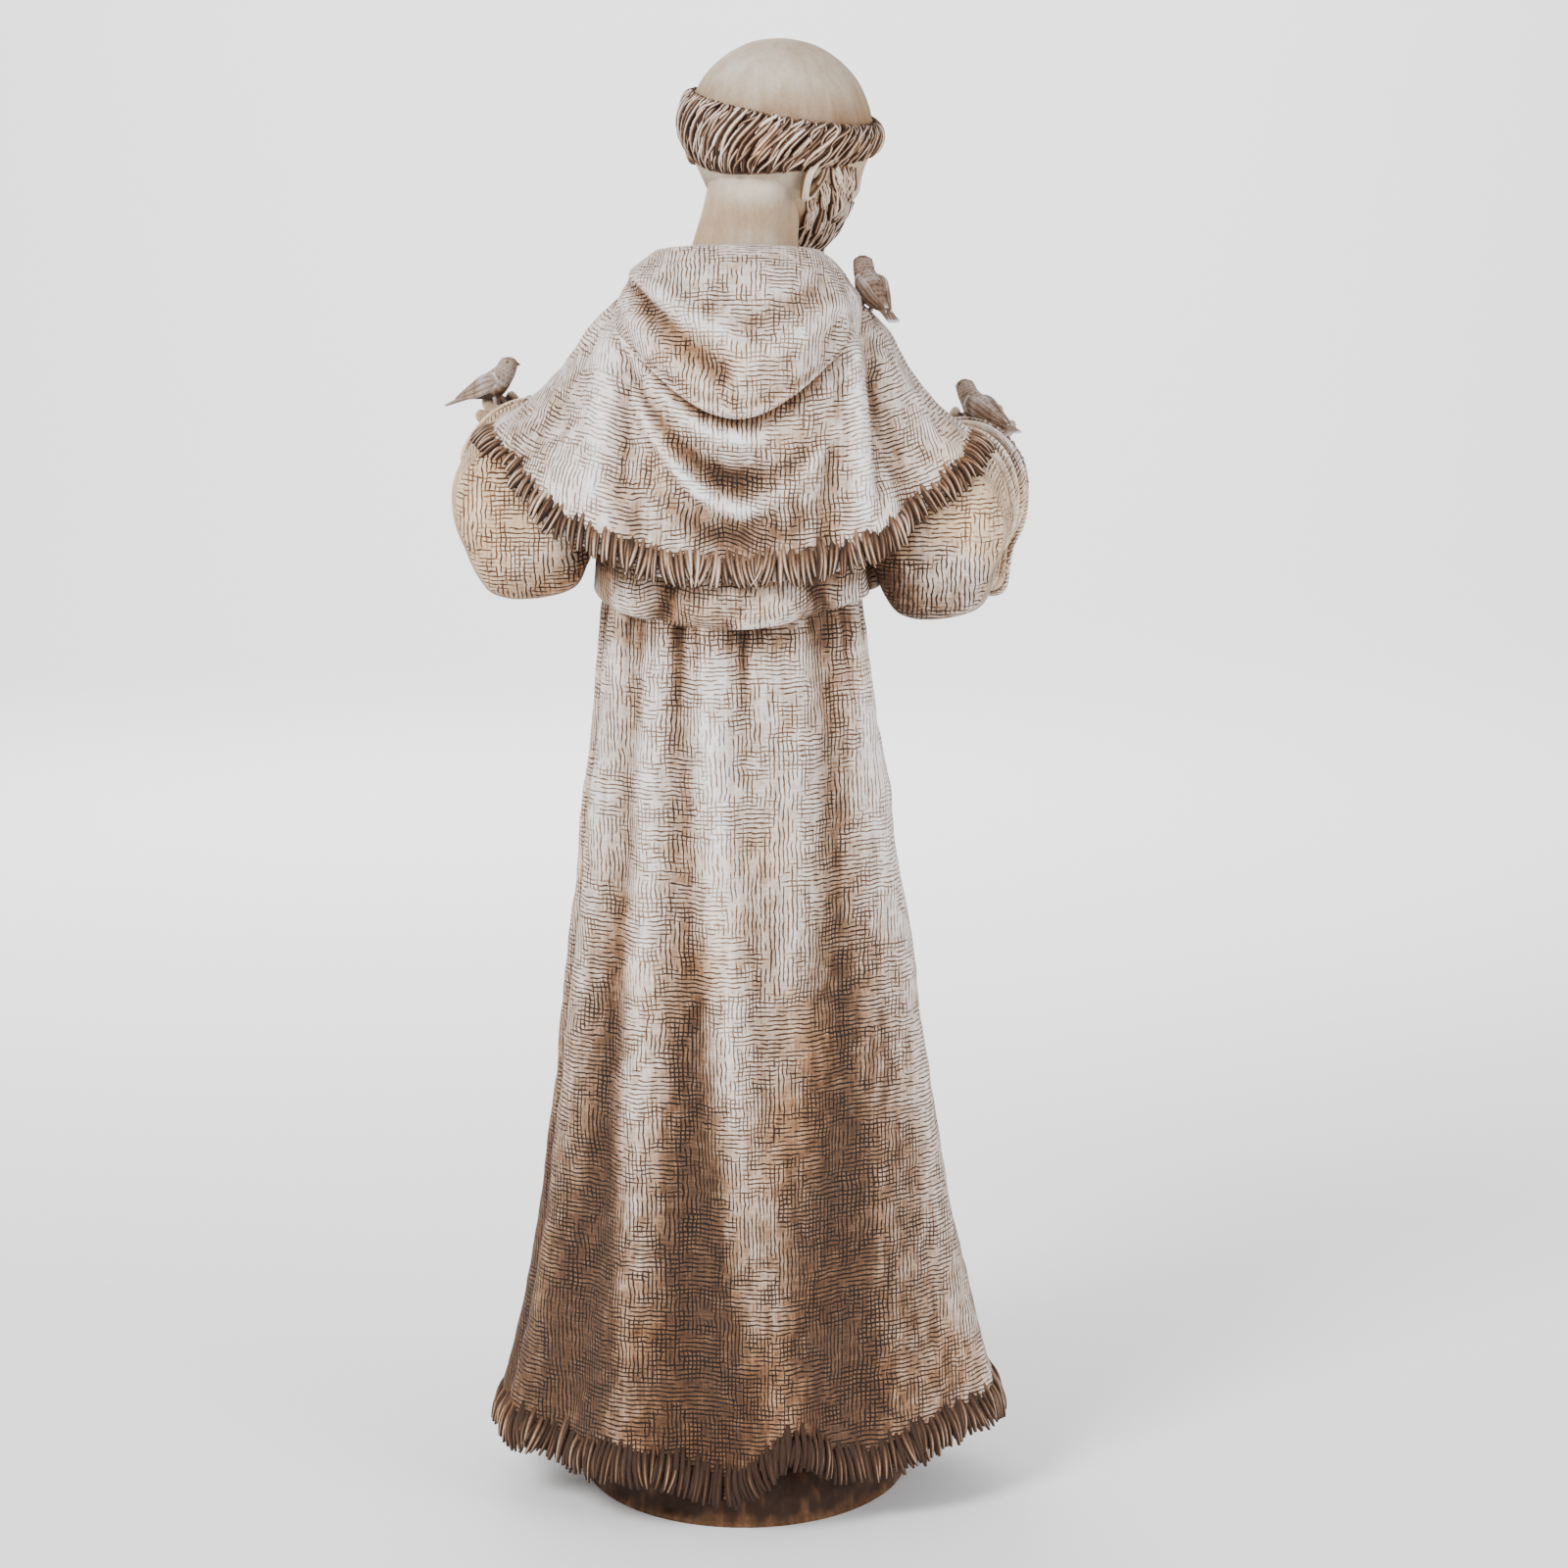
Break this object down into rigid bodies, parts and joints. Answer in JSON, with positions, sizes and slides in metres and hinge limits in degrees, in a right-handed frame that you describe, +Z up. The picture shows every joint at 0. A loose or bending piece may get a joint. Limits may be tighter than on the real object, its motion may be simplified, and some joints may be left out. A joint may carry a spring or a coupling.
{
  "type": "saint francis statue",
  "caption": "Cast garden statue of a standing friar in a hooded, fringed habit, arms held out with small birds, on a low oval mound.",
  "frame": {"origin": "on the mound's flat underside, below the middle of the figure's belt", "axes": "+Z up; the figure faces -Y and its left hand is on +X"},
  "size_m": [0.3907, 0.3329, 0.95],
  "materials": {
    "cast_stone": "matt, light dry-brushed ridges over a brown wash"
  },
  "bodies": {
    "root": {"saint_francis_statue": "cast_stone"}
  },
  "joints": []
}
